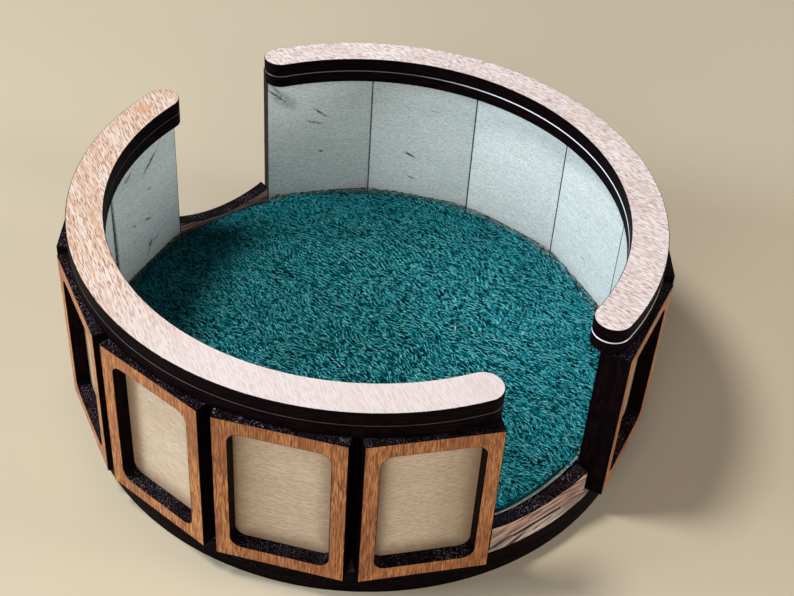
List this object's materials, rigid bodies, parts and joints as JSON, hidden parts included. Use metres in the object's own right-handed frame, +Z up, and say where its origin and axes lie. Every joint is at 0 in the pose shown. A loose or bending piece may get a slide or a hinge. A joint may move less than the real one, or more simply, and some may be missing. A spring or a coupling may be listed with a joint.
{
  "type": "dice tray",
  "caption": "Round plywood dice tray with a felt floor, a wall of flat framed panels, a split layered rim and finger gaps with scooped sills at front and rear.",
  "frame": {"origin": "middle of the underside, on the surface that the tray stands on", "axes": "+Z up; the two finger gaps face +X (front) and -X (rear)"},
  "size_m": [0.1208, 0.1246, 0.049],
  "materials": {
    "base_ply": "bare plywood disc, pale face and laser-burnt dark edge",
    "pale_ply": "bare pale plywood with fine grain and burnt edges",
    "brown_ply": "brown toned plywood, upright grain, laser-burnt dark edges",
    "rim_ply": "light pinkish brown plywood, fine grain, laser-burnt dark edges",
    "felt": "dense teal craft felt with short matted fibres"
  },
  "bodies": {
    "root": {"base_disc_lower": "base_ply", "base_disc_upper": "base_ply", "floor_disc": "pale_ply", "felt_pad": "felt", "wall_panel_01": "pale_ply", "wall_panel_02": "pale_ply", "wall_panel_03": "pale_ply", "wall_panel_04": "pale_ply", "wall_panel_05": "pale_ply", "wall_panel_06": "pale_ply", "wall_panel_07": "pale_ply", "wall_panel_08": "pale_ply", "wall_panel_09": "pale_ply", "wall_panel_10": "pale_ply", "wall_panel_11": "pale_ply", "wall_panel_12": "pale_ply", "window_frame_01": "brown_ply", "window_frame_02": "brown_ply", "window_frame_03": "brown_ply", "window_frame_04": "brown_ply", "window_frame_05": "brown_ply", "window_frame_06": "brown_ply", "window_frame_07": "brown_ply", "window_frame_08": "brown_ply", "window_frame_09": "brown_ply", "window_frame_10": "brown_ply", "window_frame_11": "brown_ply", "window_frame_12": "brown_ply", "front_sill": "rim_ply", "rear_sill": "rim_ply", "lower_rim_right": "rim_ply", "upper_rim_right": "rim_ply", "lower_rim_left": "rim_ply", "upper_rim_left": "rim_ply"}
  },
  "joints": []
}
